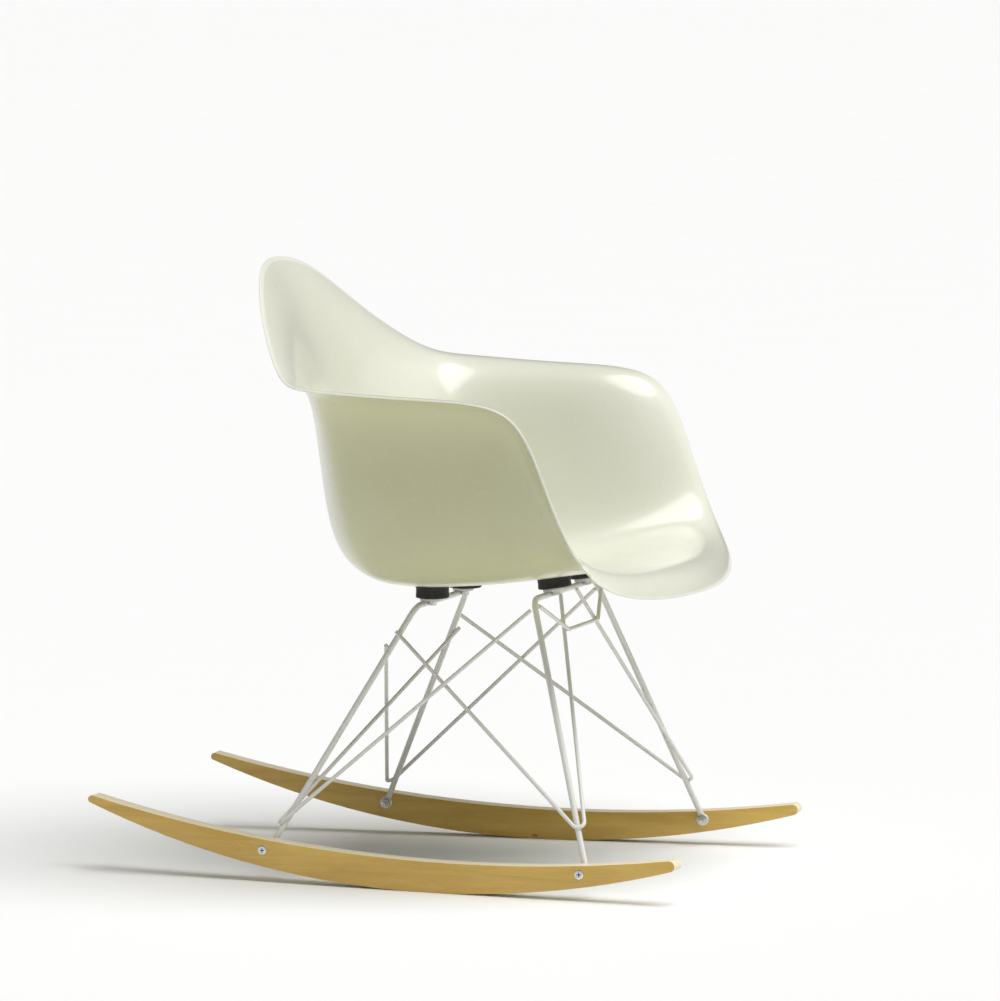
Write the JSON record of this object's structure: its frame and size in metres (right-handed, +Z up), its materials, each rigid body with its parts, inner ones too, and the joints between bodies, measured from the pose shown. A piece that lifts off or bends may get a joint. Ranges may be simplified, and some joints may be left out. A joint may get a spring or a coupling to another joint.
{
  "type": "rocking chair",
  "caption": "Armchair with a one-piece moulded shell on rubber mounts, a bent wire frame and two wooden rockers",
  "frame": {"origin": "on the floor, under the middle of the chair's bounding box", "axes": "+Z up, the sitter faces -Y, +X is the sitter's left; the rockers run along Y"},
  "size_m": [0.622, 0.8007, 0.777],
  "materials": {
    "shell": "satin",
    "rubber": "matte",
    "wire": "satin",
    "wood": "satin",
    "zinc": "bright",
    "insert": "satin"
  },
  "bodies": {
    "chair": {"seat_shell": "shell", "shock_mount_front_left": "rubber", "shock_mount_front_right": "rubber", "shock_mount_rear_left": "rubber", "shock_mount_rear_right": "rubber", "mount_inserts": "insert", "mount_plate_front_left": "wire", "mount_plate_front_right": "wire", "mount_plate_rear_left": "wire", "mount_plate_rear_right": "wire", "mount_screws": "zinc", "mount_washers": "zinc", "front_leg_frame": "wire", "rear_leg_frame": "wire", "front_hairpin_left": "wire", "front_hairpin_right": "wire", "rear_hairpin_left": "wire", "rear_hairpin_right": "wire", "front_tie": "wire", "rocker_left": "wood", "rocker_right": "wood", "rocker_screws": "zinc", "rocker_washers": "zinc", "rocker_nuts": "zinc"}
  },
  "joints": []
}
